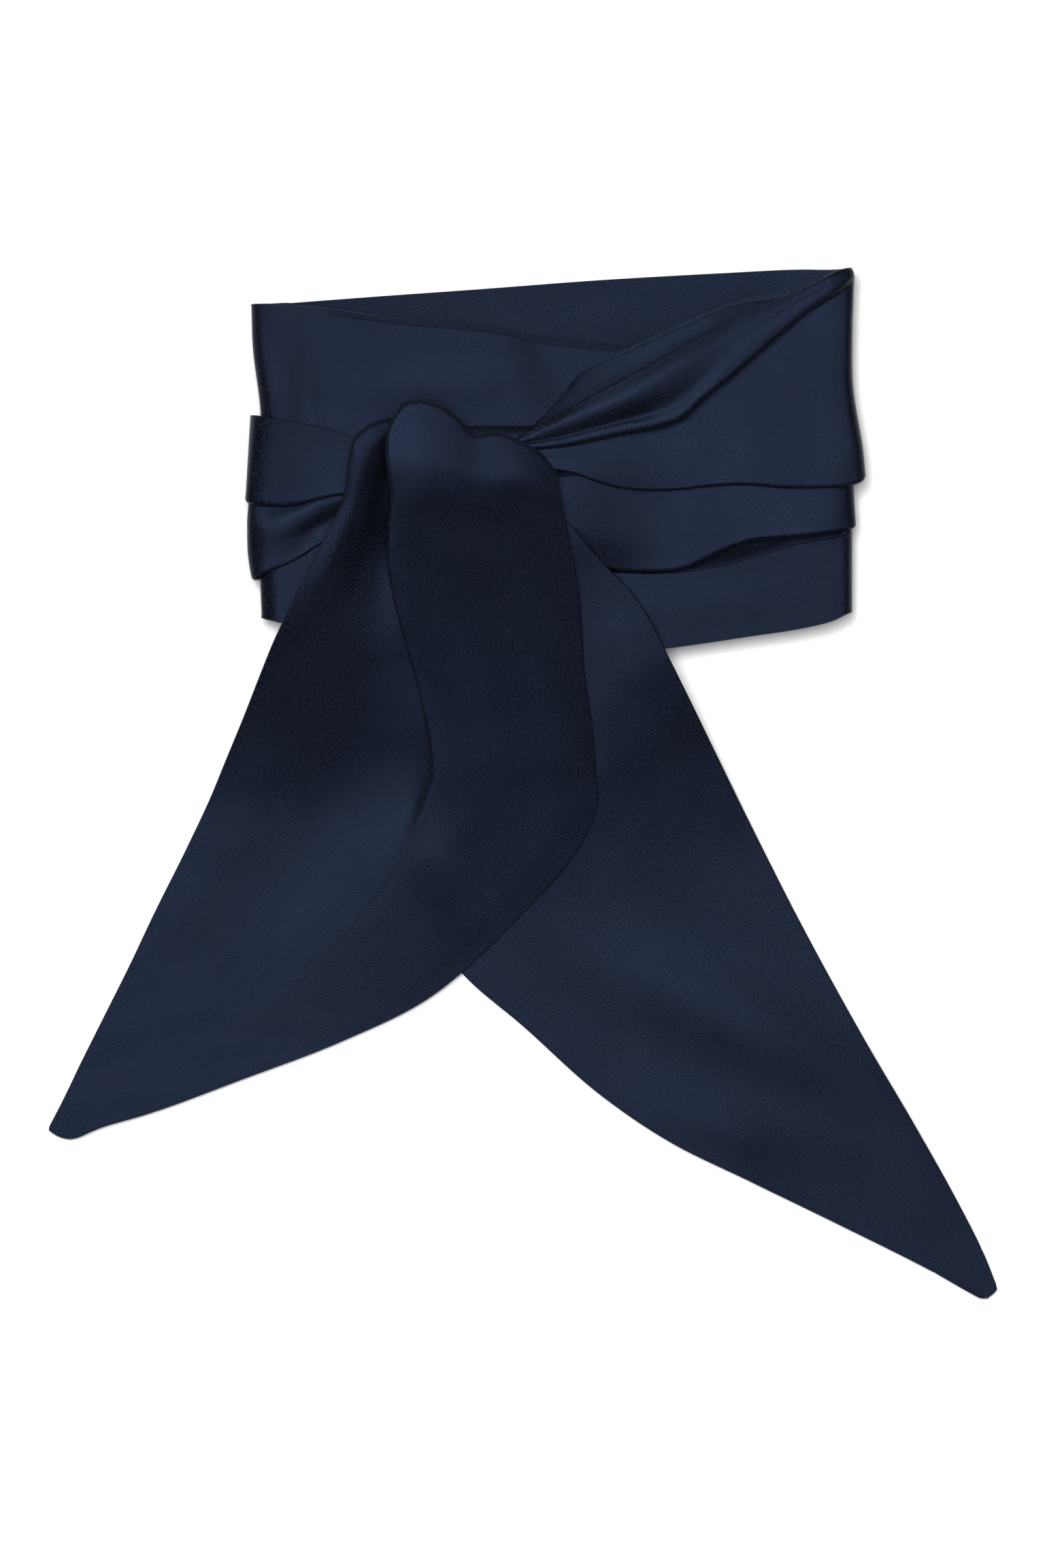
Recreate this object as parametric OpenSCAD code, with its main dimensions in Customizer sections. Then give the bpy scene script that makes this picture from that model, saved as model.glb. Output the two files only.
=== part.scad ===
// Wide satin scarf tie, wrapped twice round the neck and tied in a half knot, laid flat on its back.
// Millimetres. +X to the right, +Y towards the top of the neckband, +Z up from the surface it lies on.
// The origin is the middle of the whole outline, on that surface.

/* [Cloth] */
// Thickness of one layer of satin
layer_t = 0.5; // [0.4:0.05:0.5]
// Air between two stretches that lie on each other
layer_gap = 0.3; // [0.25:0.05:0.35]
// Width of the rolled seam along the edges of the tails
seam_w = 1.2; // [1:0.1:1.5]

/* [Neckband] */
// Height of the neck opening between the back strands and the front panel
neck_gap = 5; // [4.8:0.1:5.2]
// Left end of the flattened loop, where its turns begin
loop_left = -86; // [-87:0.5:-85]
// Right end of the flattened loop, where its turns begin
loop_right = 104; // [103:0.5:105]

/* [Knot] */
// Height of the twisted roll that runs into the knot
roll_h = 3.5; // [3:0.1:4]
// Height of the crown of the fold over the knot, above the underside of that fold
crown_h = 4.7; // [4:0.1:5]

/* [Tails] */
// Line across the knot where the front tail hangs from the fold over it
front_hinge_y = 98; // [97.5:0.1:98.5]
// Clear gap at each line where a tail bends away from the knot
bend_gap = 0.4; // [0.4:0.1:0.6]
// Length of the bar of stitches that closes the point of each tail
tack_l = 9; // [7:0.5:10]

/* [Hidden] */

navy = [0.13, 0.17, 0.28];
navy_dark = [0.09, 0.11, 0.17];
interlining_grey = [0.75, 0.75, 0.72];
thread = [0.16, 0.2, 0.32];

// Every strand is a face and a lining, and the levels stack up from the table.
strand_t = 2 * layer_t;
z_back_outer = 0;
z_back_inner = strand_t + layer_gap;
z_front = z_back_inner + strand_t + neck_gap;
z_pleat = z_front + strand_t + layer_gap;
z_wrap = z_pleat + strand_t + layer_gap;
z_roll = z_wrap + strand_t + layer_gap;
z_knot_top = z_roll + 4.8;
z_overfold = z_knot_top + layer_gap;
z_front_tail_high = z_overfold + layer_gap;
z_front_tail_low = strand_t + layer_gap;

// Heights along the right and left edges of the band where one turn gives way to the next.
y_first_turn_low = 57;
y_turns_cross = 84.5;
y_pleat_turn = 101;
y_band_top = 171;
y_left_low = 54;
y_left_top = 160;
y_strap_low = 68;
y_strap_split = 94;
y_strap_top = 122;

// The rear tail bends up along this straight line, just clear of the front tail's edge.
rear_bend_at = [27.3, -15.1];
rear_bend_dir = 48.6;

// A sheet that drops from the knot to the table falls along a smooth step.
rear_drop = [22, 50];
front_drop = [0, 70];
front_tip_drop = [-110, -75];
drape_step = 4;

// Points of a smooth open curve through p: Catmull-Rom, with n pieces between neighbours.
function curve(p, n = 3) = concat(
    [for (i = [0 : len(p) - 2], k = [0 : n - 1])
        let (a = p[max(i - 1, 0)], b = p[i], c = p[i + 1], d = p[min(i + 2, len(p) - 1)], t = k / n)
        0.5 * (2 * b + (c - a) * t + (2 * a - 5 * b + 4 * c - d) * t * t
            + (3 * b - a - 3 * c + d) * t * t * t)],
    [p[len(p) - 1]]);

function smooth_step(t) = let (s = min(max(t, 0), 1)) s * s * (3 - 2 * s);
function between(y, r) = (y - r[0]) / (r[1] - r[0]);
function rear_z(y) = z_roll * smooth_step(between(y, rear_drop));
function front_z(y) = z_front_tail_low * smooth_step(between(y, front_tip_drop))
    + (z_front_tail_high - z_front_tail_low) * smooth_step(between(y, front_drop));

// Outlines, each run of points a smooth curve and each join between runs a corner.
centre_outline = concat(
    curve([[loop_left, 160], [-65, 158.5], [-44, 155.5], [-8, 152], [20, 147], [60, 140], [loop_right, 134]]),
    curve([[loop_right, 57], [84, 50.5], [56, 46.5], [0, 46], [-60, 50], [loop_left, 54]]));
back_inner_outline = concat(
    curve([[loop_left, 160], [-49, 162.5], [-14, 165], [26, 168], [70, 170.5], [loop_right, 171]]),
    curve([[loop_right, 85], [60, 74], [0, 62], [-60, 55], [loop_left, 54]]));
back_outer_outline = concat(
    curve([[loop_left, 122], [-30, 112], [40, 96], [loop_right, 84]]),
    curve([[loop_right, 57], [40, 56], [-30, 62], [loop_left, 68]]));
panel_outline = concat(
    curve([[loop_right, 169], [97, 160], [84, 151], [67, 134], [56, 124], [46, 119], [24, 115], [5, 111.5]]),
    curve([[6, 105], [14, 104], [32, 99], [54, 98.5], [88, 99], [loop_right, 101]]));
pleat_outline = concat(
    curve([[loop_right, 85], [88, 82.5], [68, 78.5], [57, 72.5], [50, 71], [32, 71], [18, 77], [8, 90]]),
    [[5, 96], [5, 108], [loop_right, 109]]);
hem_flap_outline = concat(
    curve([[5, 117], [24, 138], [54, 155], [88, 163.5], [103, 167]]),
    curve([[103, 163], [75, 150], [50, 133], [21, 121], [5, 114]]));
roll_outline = concat(
    curve([[109, 171], [75, 157.5], [49, 143], [21, 128.5], [4, 117]]),
    curve([[4, 112], [24, 115], [46, 119], [60, 127], [74, 141.5], [96, 159], [109, 170]]));
strap_upper_outline = concat(
    curve([[loop_left, 122], [-74, 120], [-57, 115.5], [-46, 112]]),
    curve([[-46, 99], [-60, 96], [-73, 93.5], [loop_left, 94]]));
strap_lower_outline = concat(
    curve([[loop_left, 96], [-62, 97], [-47, 99]]),
    curve([[-47, 90], [-65, 82], [-78, 74], [loop_left, 68]]));
overfold_outline = concat(
    curve([[-59, 98], [-58, 112], [-54, 118], [-45, 122], [-39, 127], [-28, 126.5], [-20, 120], [-14, 116],
        [-8, 117], [2, 112.5], [9, 106.5], [13, 98]]));
rear_outline = concat(
    curve([[-30, 82], [3, 83], [16, 86]]),
    curve([[20, 81], [36, 63], [55, 29], [82, -26], [104, -67], [131, -112], [146, -140], [158, -168]]),
    [[157, -170], [153, -171.5]],
    curve([[151, -171], [122, -155], [92, -140], [49, -119], [13, -92], [-20, -62.5], [-38, -35], [-45, 0],
        [-42, 40], [-32, 80]]));
front_outline = concat(
    curve([[-60, 98], [-72, 68], [-94, 19], [-131, -62], [-158, -115]]),
    [[-155, -117.5], [-148, -117.5]],
    curve([[-142, -115], [-82, -94.5], [-44, -78], [-20, -62.5], [6, -35.5], [20, -18]]),
    curve([[24.5, -8], [23.5, 17], [19.5, 50], [17, 76], [13, 98]]));

// A flat layer of cloth with this outline.
module layer(points, z, t = strand_t) {
    translate([0, 0, z]) linear_extrude(t) polygon(points);
}

// The side of the loop: cloth that turns up from one strand to another, between two heights on the band.
module turn(x, side, y_from, y_to, z_low, z_high) {
    outer_r = (z_high + strand_t - z_low) / 2;
    translate([x, y_to, z_low + outer_r]) rotate([90, 0, 0]) linear_extrude(y_to - y_from)
        difference() {
            circle(outer_r, $fn = 48);
            circle(outer_r - strand_t, $fn = 48);
            translate([side > 0 ? -outer_r - 1 : 0, -outer_r - 1]) square([outer_r + 1, 2 * outer_r + 2]);
        }
}

// A sheet that follows a line of [y, z] points, from z0 to z1 above that line, as wide as the object.
module drape(line, z0, z1) {
    side = concat([for (p = line) [p[0], p[1] + z0]],
        [for (i = [len(line) - 1 : -1 : 0]) [line[i][0], line[i][1] + z1]]);
    translate([-200, 0, 0]) rotate([90, 0, 90]) linear_extrude(400) polygon(side);
}

front_line = [for (y = [-120 : drape_step : 96]) [y, front_z(y)]];
front_to_hinge = concat(front_line, [[front_hinge_y - bend_gap / 2, front_z(front_hinge_y)]]);
rear_line = [for (y = [-176 : drape_step : 92]) [y, rear_z(y)]];

// The half plane beyond the rear tail's bend, or before it, less half the gap.
module beyond_bend(free) {
    translate(rear_bend_at) rotate(rear_bend_dir)
        translate([-300, free ? -600 - bend_gap / 2 : bend_gap / 2]) square([600, 600]);
}

// One layer of a draped tail: z0 to z1 above its line, and either its middle or its rolled edge.
module tail_layer(line, z0, z1, edge) {
    intersection() {
        translate([0, 0, -1]) linear_extrude(40)
            difference() {
                if (edge) children(); else offset(delta = -seam_w) children();
                if (edge) offset(delta = -seam_w) children();
            }
        drape(line, z0, z1);
    }
}

// A row of closing stitches across the point of a tail.
module tack(at, turn_z, z) {
    translate([at[0], at[1], z]) rotate(turn_z) translate([-tack_l / 2, -0.5, 0]) cube([tack_l, 1, 0.3]);
}

module rear_free_outline() { intersection() { polygon(rear_outline); beyond_bend(true); } }
module front_free_outline() {
    difference() {
        polygon(front_outline);
        translate([-200, front_hinge_y - bend_gap / 2]) square([400, 50]);
    }
}

module centre_panel_lining() { color(navy_dark) layer(centre_outline, z_front, 0.3 * strand_t); }
module centre_panel_interlining() {
    color(interlining_grey) layer(centre_outline, z_front + 0.3 * strand_t, 0.4 * strand_t);
}
module centre_panel_face() { color(navy) layer(centre_outline, z_front + 0.7 * strand_t, 0.3 * strand_t); }
module left_first_turn() {
    color(navy) turn(loop_left, -1, y_left_low, y_left_top, z_back_inner, z_front);
}
module right_first_turn() {
    color(navy) turn(loop_right, 1, y_first_turn_low, y_turns_cross - layer_gap, z_back_outer, z_front);
}
module back_inner_strand() { color(navy_dark) layer(back_inner_outline, z_back_inner); }
module back_outer_strand() { color(navy_dark) layer(back_outer_outline, z_back_outer); }
module left_second_turn() {
    color(navy) {
        turn(loop_left, -1, y_strap_low, y_strap_split, z_back_outer, z_pleat);
        turn(loop_left, -1, y_strap_split, y_strap_top, z_back_outer, z_wrap);
    }
}
module right_second_turn() {
    color(navy) {
        turn(loop_right, 1, y_turns_cross, y_pleat_turn, z_back_inner, z_pleat);
        turn(loop_right, 1, y_pleat_turn, y_band_top, z_back_inner, z_wrap);
    }
}
module right_wrap_panel() { color(navy) layer(panel_outline, z_wrap); }
module right_wrap_roll() { color(navy) layer(roll_outline, z_roll, roll_h); }
module right_wrap_hem_flap() { color(navy) layer(hem_flap_outline, z_pleat); }
module right_wrap_lower_pleat() { color(navy) layer(pleat_outline, z_pleat); }
module left_strap_upper_pleat() { color(navy) layer(strap_upper_outline, z_wrap); }
module left_strap_lower_pleat() { color(navy) layer(strap_lower_outline, z_pleat); }

// The bight of the half knot, a tight rounded bundle under the fold.
module knot_core() {
    r = (z_knot_top - z_pleat) / 2;
    color(navy_dark) hull()
        for (p = [[-41, 92], [-38, 108], [-20, 112], [-1, 108], [-1, 89], [-20, 88]])
            translate([p[0], p[1], z_pleat + r]) sphere(r, $fn = 32);
}

// The front tail where it comes up behind the knot and turns over its crown.
module knot_overfold() {
    y0 = front_hinge_y + bend_gap;
    z0 = z_overfold;
    crown = concat([[y0, z0]], curve([[y0, z_front_tail_high + strand_t], [103, z0 + 3.6],
        [108, z0 + crown_h], [113, z0 + crown_h], [120, z0 + 3.4], [128, z0 + 0.6]]), [[128, z0]]);
    color(navy) intersection() {
        translate([0, 0, z0 - 1]) linear_extrude(crown_h + 2) polygon(overfold_outline);
        translate([-100, 0, 0]) rotate([90, 0, 90]) linear_extrude(200) polygon(crown);
    }
}

module rear_tail_root() {
    color(navy) intersection() {
        translate([0, 0, -1]) linear_extrude(40) difference() {
            polygon(rear_outline);
            beyond_bend(true);
            translate(rear_bend_at) rotate(rear_bend_dir) square([600, bend_gap], center = true);
            translate([-60, 78]) square([62, 20]);
        }
        drape(rear_line, 0, strand_t);
    }
}
module rear_tail_face() { color(navy) tail_layer(rear_line, layer_t, strand_t, false) rear_free_outline(); }
module rear_tail_lining() { color(navy_dark) tail_layer(rear_line, 0, layer_t, false) rear_free_outline(); }
module rear_tail_edge_seam() { color(navy) tail_layer(rear_line, 0, strand_t, true) rear_free_outline(); }
module rear_tail_tip_tack() { color(thread) tack([151, -162], -30, strand_t); }
module front_tail_face() {
    color(navy) tail_layer(front_to_hinge, layer_t, strand_t, false) front_free_outline();
}
module front_tail_lining() {
    color(navy_dark) tail_layer(front_to_hinge, 0, layer_t, false) front_free_outline();
}
module front_tail_edge_seam() {
    color(navy) tail_layer(front_to_hinge, 0, strand_t, true) front_free_outline();
}
module front_tail_tip_tack() { color(thread) tack([-150, -112.5], 30, strand_t); }

centre_panel_face();
centre_panel_interlining();
centre_panel_lining();
left_first_turn();
right_first_turn();
back_inner_strand();
back_outer_strand();
left_second_turn();
right_second_turn();
right_wrap_panel();
right_wrap_roll();
right_wrap_hem_flap();
right_wrap_lower_pleat();
left_strap_upper_pleat();
left_strap_lower_pleat();
knot_core();
knot_overfold();
rear_tail_root();
rear_tail_face();
rear_tail_lining();
rear_tail_edge_seam();
rear_tail_tip_tack();
front_tail_face();
front_tail_lining();
front_tail_edge_seam();
front_tail_tip_tack();
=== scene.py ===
"""Satin scarf tie: the cloth, its materials and its studio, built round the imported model.

Lengths are millimetres in the shared frame, but metres for the stage, the lights, the camera and the UVs.
"""
import math

import bpy
import numpy as np
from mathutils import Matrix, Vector


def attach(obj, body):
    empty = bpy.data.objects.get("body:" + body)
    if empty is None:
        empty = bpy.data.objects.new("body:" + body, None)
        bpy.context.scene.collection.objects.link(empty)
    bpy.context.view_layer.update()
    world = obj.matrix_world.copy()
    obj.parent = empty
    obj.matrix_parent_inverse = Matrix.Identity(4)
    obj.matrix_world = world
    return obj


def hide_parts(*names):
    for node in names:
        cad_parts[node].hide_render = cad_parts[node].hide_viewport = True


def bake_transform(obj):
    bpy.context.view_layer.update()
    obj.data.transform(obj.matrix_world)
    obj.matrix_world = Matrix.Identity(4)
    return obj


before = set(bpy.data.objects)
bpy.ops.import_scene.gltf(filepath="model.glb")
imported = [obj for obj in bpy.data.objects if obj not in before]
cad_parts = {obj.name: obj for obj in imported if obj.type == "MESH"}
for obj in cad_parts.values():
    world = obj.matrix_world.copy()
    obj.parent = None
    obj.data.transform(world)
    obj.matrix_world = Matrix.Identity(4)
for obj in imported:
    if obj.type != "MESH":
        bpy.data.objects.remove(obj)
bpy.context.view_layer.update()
MM = 0.001

# ---------------------------------------------------------------- curves and grids


def loft(rails, step=1.5):
    """A grid of points on the smooth sheet through these rails, which all have the same number of points."""
    along = refined(np.array(rails, float).transpose(1, 0, 2), step)
    return refined(along.transpose(1, 0, 2), step).transpose(1, 0, 2)


def refined(rows, step):
    """More rows of points, at most a step apart, on the smooth curves that run from row to row."""
    ends = np.concatenate([2 * rows[:1] - rows[1:2], rows, 2 * rows[-1:] - rows[-2:-1]])
    out = []
    for k in range(len(rows) - 1):
        longest = np.linalg.norm(rows[k + 1] - rows[k], axis=1).max()
        shares = np.linspace(0, 1, max(2, math.ceil(longest / step)), endpoint=False)
        out.append(segment(ends[k : k + 4], shares))
    return np.concatenate([*out, rows[-1:]])


def segment(rows, shares):
    """Centripetal Catmull-Rom: the stretch from row 1 to row 2 of four rows, at these shares of it."""
    gaps = [np.sqrt(np.linalg.norm(rows[i + 1] - rows[i], axis=-1)) + 1e-6 for i in range(3)]
    knots = [0 * gaps[0], gaps[0], gaps[0] + gaps[1], gaps[0] + gaps[1] + gaps[2]]
    place = knots[1] + (knots[2] - knots[1]) * shares[:, None]

    def mix(start, end, i, j):
        share = (place - knots[i]) / (knots[j] - knots[i])
        return start + (end - start) * share[..., None]

    a, b, c = (mix(rows[i], rows[i + 1], i, i + 1) for i in range(3))
    return mix(mix(a, b, 0, 2), mix(b, c, 1, 3), 1, 2)


def softened(grid, passes):
    """The grid with small ripples ironed out and its edges kept."""
    for _ in range(passes):
        inner = grid[1:-1, 1:-1]
        sides = grid[:-2, 1:-1] + grid[2:, 1:-1] + grid[1:-1, :-2] + grid[1:-1, 2:]
        grid[1:-1, 1:-1] = inner / 2 + sides / 8
    return grid


def between(a, b, *shares):
    """Rails at these shares of the way from rail a to rail b, which have as many points as each other."""
    a, b = np.array(a, float), np.array(b, float)
    return [a + (b - a) * s for s in shares]


def shifted(rail, dx=0.0, dy=0.0, dz=0.0):
    """The same rail moved sideways, along and up."""
    return [(x + dx, y + dy, z + dz) for x, y, z in rail]


def swell(grid, hollows):
    """Raises or sinks the sheet in soft mounds: (x, y, half length, half width, turn, height) each."""
    for x, y, long, wide, turn, height in hollows:
        c, s = math.cos(math.radians(turn)), math.sin(math.radians(turn))
        dx, dy = grid[..., 0] - x, grid[..., 1] - y
        u, v = (dx * c + dy * s) / long, (dy * c - dx * s) / wide
        grid[..., 2] += height * np.exp(-(u * u + v * v))
    return grid


# ---------------------------------------------------------------- cloth from grids


def normals(grid):
    """The way out of the sheet at each point of the grid."""
    along = np.gradient(grid, axis=0)
    across = np.gradient(grid, axis=1)
    n = np.cross(across, along)
    return n / np.maximum(np.linalg.norm(n, axis=2, keepdims=True), 1e-9)


def edge_outward(grid):
    """For each point of the grid, the way out over the nearest edge, zero away from the edges."""
    out = np.zeros_like(grid)
    out[0] += grid[0] - grid[1]
    out[-1] += grid[-1] - grid[-2]
    out[:, 0] += grid[:, 0] - grid[:, 1]
    out[:, -1] += grid[:, -1] - grid[:, -2]
    size = np.linalg.norm(out, axis=2, keepdims=True)
    return out / np.maximum(size, 1e-9)


def cloth(name, grid, offset, thick, material):
    """A closed sheet: the grid moved out by offset along its normal, this thick, with round edges."""
    n = normals(grid)
    mid = grid + n * offset
    top = mid + n * thick / 2
    bottom = mid - n * thick / 2
    rows, cols = grid.shape[:2]
    loop = [(0, j) for j in range(cols)] + [(i, cols - 1) for i in range(1, rows)]
    loop += [(rows - 1, j) for j in range(cols - 2, -1, -1)] + [(i, 0) for i in range(rows - 2, 0, -1)]
    out = edge_outward(grid)
    rim = np.array([mid[i, j] + out[i, j] * thick / 2 for i, j in loop])
    co = np.concatenate([top.reshape(-1, 3), bottom.reshape(-1, 3), rim])
    size = rows * cols
    index = np.arange(size).reshape(rows, cols)
    a, b, c, d = (index[:-1, :-1], index[1:, :-1], index[1:, 1:], index[:-1, 1:])
    up = np.stack([a, d, c, b], axis=-1).reshape(-1, 4)
    faces = up.tolist() + (up[:, ::-1] + size).tolist()
    for k in range(len(loop)):
        i, j = loop[k]
        i2, j2 = loop[(k + 1) % len(loop)]
        r, r2 = 2 * size + k, 2 * size + (k + 1) % len(loop)
        t, t2 = int(index[i, j]), int(index[i2, j2])
        faces.append((t, r, r2, t2))
        faces.append((t + size, t2 + size, r2, r))
    mesh = bpy.data.meshes.new(name)
    mesh.from_pydata((co * MM).tolist(), [], faces)
    mesh.update()
    add_uv(mesh, grid, index, loop, size)
    mesh.polygons.foreach_set("use_smooth", [True] * len(mesh.polygons))
    crisp_rims(mesh, size)
    obj = bpy.data.objects.new(name, mesh)
    bpy.context.scene.collection.objects.link(obj)
    obj.data.materials.append(material)
    return obj


def crisp_rims(mesh, size):
    """Keeps the flat sides flat right up to the rim: the rim's first and last edges are sharp."""
    ends = np.zeros(len(mesh.edges) * 2, int)
    mesh.edges.foreach_get("vertices", ends)
    rim_faces = [p for p in mesh.polygons if max(p.vertices) >= 2 * size]
    corners = {tuple(sorted((p.vertices[a], p.vertices[b]))) for p in rim_faces for a, b in ((0, 3), (0, 1))}
    pairs = ends.reshape(-1, 2).tolist()
    sharp = [max(pair) < 2 * size and tuple(sorted(pair)) in corners for pair in pairs]
    layer = mesh.attributes.new("sharp_edge", "BOOLEAN", "EDGE")
    layer.data.foreach_set("value", sharp)


def add_uv(mesh, grid, index, loop, size):
    """Texture places in metres of flat cloth: distance along the middle of the sheet, and across it."""
    middle = grid[:, grid.shape[1] // 2]
    u = np.concatenate([[0], np.cumsum(np.linalg.norm(np.diff(middle, axis=0), axis=1))])
    widths = np.linalg.norm(np.diff(grid, axis=1), axis=2)
    v = np.concatenate([np.zeros((len(grid), 1)), np.cumsum(widths, axis=1)], axis=1)
    flat = np.stack([np.repeat(u[:, None], grid.shape[1], axis=1), v], axis=-1).reshape(-1, 2)
    rim = np.array([flat[index[i, j]] for i, j in loop])
    places = np.concatenate([flat, flat, rim]) * MM
    layer = mesh.uv_layers.new(name="cloth")
    vertex = np.zeros(len(mesh.loops), int)
    mesh.loops.foreach_get("vertex_index", vertex)
    layer.data.foreach_set("uv", places[vertex].ravel())


# ---------------------------------------------------------------- materials


NAVY_DARK = (0.0006, 0.0008, 0.0015)
NAVY_LIGHT = (0.0060, 0.0072, 0.0112)
NAVY_LIGHT_LINING = (0.0058, 0.0070, 0.0108)
NAVY_GLOSS = (0.27, 0.41, 0.88)
NAVY_SHEEN = (0.38, 0.55, 1.0)
LINEN_DARK = (0.40, 0.39, 0.35)
LINEN_LIGHT = (0.62, 0.61, 0.57)
THREAD_DARK = (0.004, 0.005, 0.009)
THREAD_LIGHT = (0.014, 0.016, 0.026)
ROUGHNESS_SPREAD = 0.07


def new_material(name):
    """A new material, its nodes, its links and its shader."""
    material = bpy.data.materials.new(name)
    material.use_nodes = True
    tree = material.node_tree
    return material, tree.nodes, tree.links, tree.nodes["Principled BSDF"]


def set_values(node, **values):
    """Sets inputs of a node that are the same all over: base_color=... sets the input called Base Color."""
    for name, value in values.items():
        socket = next(one for one in node.inputs if one.name.lower().replace(" ", "_") == name)
        socket.default_value = value


def lay_on_cloth(nodes, links, textures):
    """Makes these textures follow the flat cloth, in metres."""
    place = nodes.new("ShaderNodeUVMap")
    place.uv_map = "cloth"
    for texture in textures:
        links.new(place.outputs["UV"], texture.inputs["Vector"])


def wave(nodes, direction, scale, distortion):
    """Stripes that run across this direction, bent a little."""
    texture = nodes.new("ShaderNodeTexWave")
    texture.bands_direction = direction
    set_values(texture, scale=scale, distortion=distortion)
    return texture


def noise(nodes, scale, detail):
    """A noise texture whose spots are about 1 / scale metres across."""
    texture = nodes.new("ShaderNodeTexNoise")
    set_values(texture, scale=scale, detail=detail)
    return texture


def mix_values(nodes, links, a, b, share):
    """A node output that is a, with this share of b in it."""
    mix = nodes.new("ShaderNodeMix")
    mix.inputs["Factor"].default_value = share
    links.new(a, mix.inputs["A"])
    links.new(b, mix.inputs["B"])
    return mix.outputs["Result"]


def colour_by(nodes, links, value, shader, dark, light, start, end):
    """Colours the shader dark where the value is below start, light where it is above end."""
    ramp = nodes.new("ShaderNodeValToRGB")
    for element, position, colour in zip(ramp.color_ramp.elements, (start, end), (dark, light)):
        element.position = position
        element.color = (*colour, 1)
    links.new(value, ramp.inputs["Fac"])
    links.new(ramp.outputs["Color"], shader.inputs["Base Color"])


def relief_by(nodes, links, height, shader, strength, distance):
    """Gives the shader a fine relief that follows the height."""
    bump = nodes.new("ShaderNodeBump")
    set_values(bump, strength=strength, distance=distance)
    links.new(height, bump.inputs["Height"])
    links.new(bump.outputs["Normal"], shader.inputs["Normal"])


def satin(name, light, roughness):
    """Navy satin: fine diagonal weave, heathered threads, slubs and a soft tinted gloss."""
    material, nodes, links, shader = new_material(name)
    weave = wave(nodes, "DIAGONAL", scale=990, distortion=1.2)
    set_values(weave, detail=2, detail_scale=1.5)
    threads = noise(nodes, scale=2800, detail=2)
    slubs = noise(nodes, scale=1300, detail=2)
    cloudy = noise(nodes, scale=45, detail=4)
    lay_on_cloth(nodes, links, (weave, threads, slubs, cloudy))
    yarn = mix_values(nodes, links, weave.outputs["Fac"], threads.outputs["Fac"], 0.5)
    height = mix_values(nodes, links, yarn, slubs.outputs["Fac"], 0.65)
    shade = mix_values(nodes, links, height, cloudy.outputs["Fac"], 0.2)
    colour_by(nodes, links, shade, shader, NAVY_DARK, light, start=0.42, end=0.58)
    relief_by(nodes, links, height, shader, strength=0.8, distance=0.0002)
    rough = nodes.new("ShaderNodeMapRange")
    set_values(rough, from_min=0.35, from_max=0.65)
    set_values(rough, to_min=roughness - ROUGHNESS_SPREAD, to_max=roughness + ROUGHNESS_SPREAD)
    links.new(slubs.outputs["Fac"], rough.inputs["Value"])
    links.new(rough.outputs["Result"], shader.inputs["Roughness"])
    set_values(shader, specular_ior_level=0.157, specular_tint=(*NAVY_GLOSS, 1))
    set_values(shader, sheen_weight=0.04, sheen_roughness=0.35, sheen_tint=(*NAVY_SHEEN, 1))
    return material


def canvas(name, dark, light, scale, roughness):
    """Plain woven or twisted yarn: threads both ways, a little uneven."""
    material, nodes, links, shader = new_material(name)
    across = wave(nodes, "X", scale, distortion=1.5)
    along = wave(nodes, "Y", scale, distortion=1.5)
    fuzz = noise(nodes, scale=3000, detail=3)
    lay_on_cloth(nodes, links, (across, along, fuzz))
    crossing = mix_values(nodes, links, across.outputs["Fac"], along.outputs["Fac"], 0.5)
    height = mix_values(nodes, links, crossing, fuzz.outputs["Fac"], 0.4)
    colour_by(nodes, links, height, shader, dark, light, start=0.3, end=0.7)
    relief_by(nodes, links, height, shader, strength=0.7, distance=0.0001)
    set_values(shader, roughness=roughness)
    return material


FACE = satin("satin_face", NAVY_LIGHT, roughness=0.3)
LINING = satin("satin_lining", NAVY_LIGHT_LINING, roughness=0.35)
EDGE = satin("satin_edge", NAVY_LIGHT, roughness=0.32)
INTERLINING = canvas("interlining", LINEN_DARK, LINEN_LIGHT, scale=500, roughness=0.9)
THREAD = canvas("thread", THREAD_DARK, THREAD_LIGHT, scale=900, roughness=0.6)

# ---------------------------------------------------------------- building one stretch of the tie

LAYER = 0.44  # thickness of the face and of the lining
LAYER_GAP = 0.04  # air between two layers, and under the lowest one
CORE = 0.36  # thickness of the interlining
CORE_INSET = 2  # grid points by which it stops short of every edge
HEM_WIDE = 2.0
HEM_THICK = 0.3
HEM_DROP = 2.5  # a hem strip stays on the stretch of edge that lies this near to its highest point
SEAM_RADIUS = 0.46
THREAD_RADIUS = 0.13
THREAD_PROUD = 0.6  # share of the thread's radius by which its middle stands out of the seam
STITCHES = 5
STITCH_POINTS = 16
STITCH_SLANT = 0.3


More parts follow.
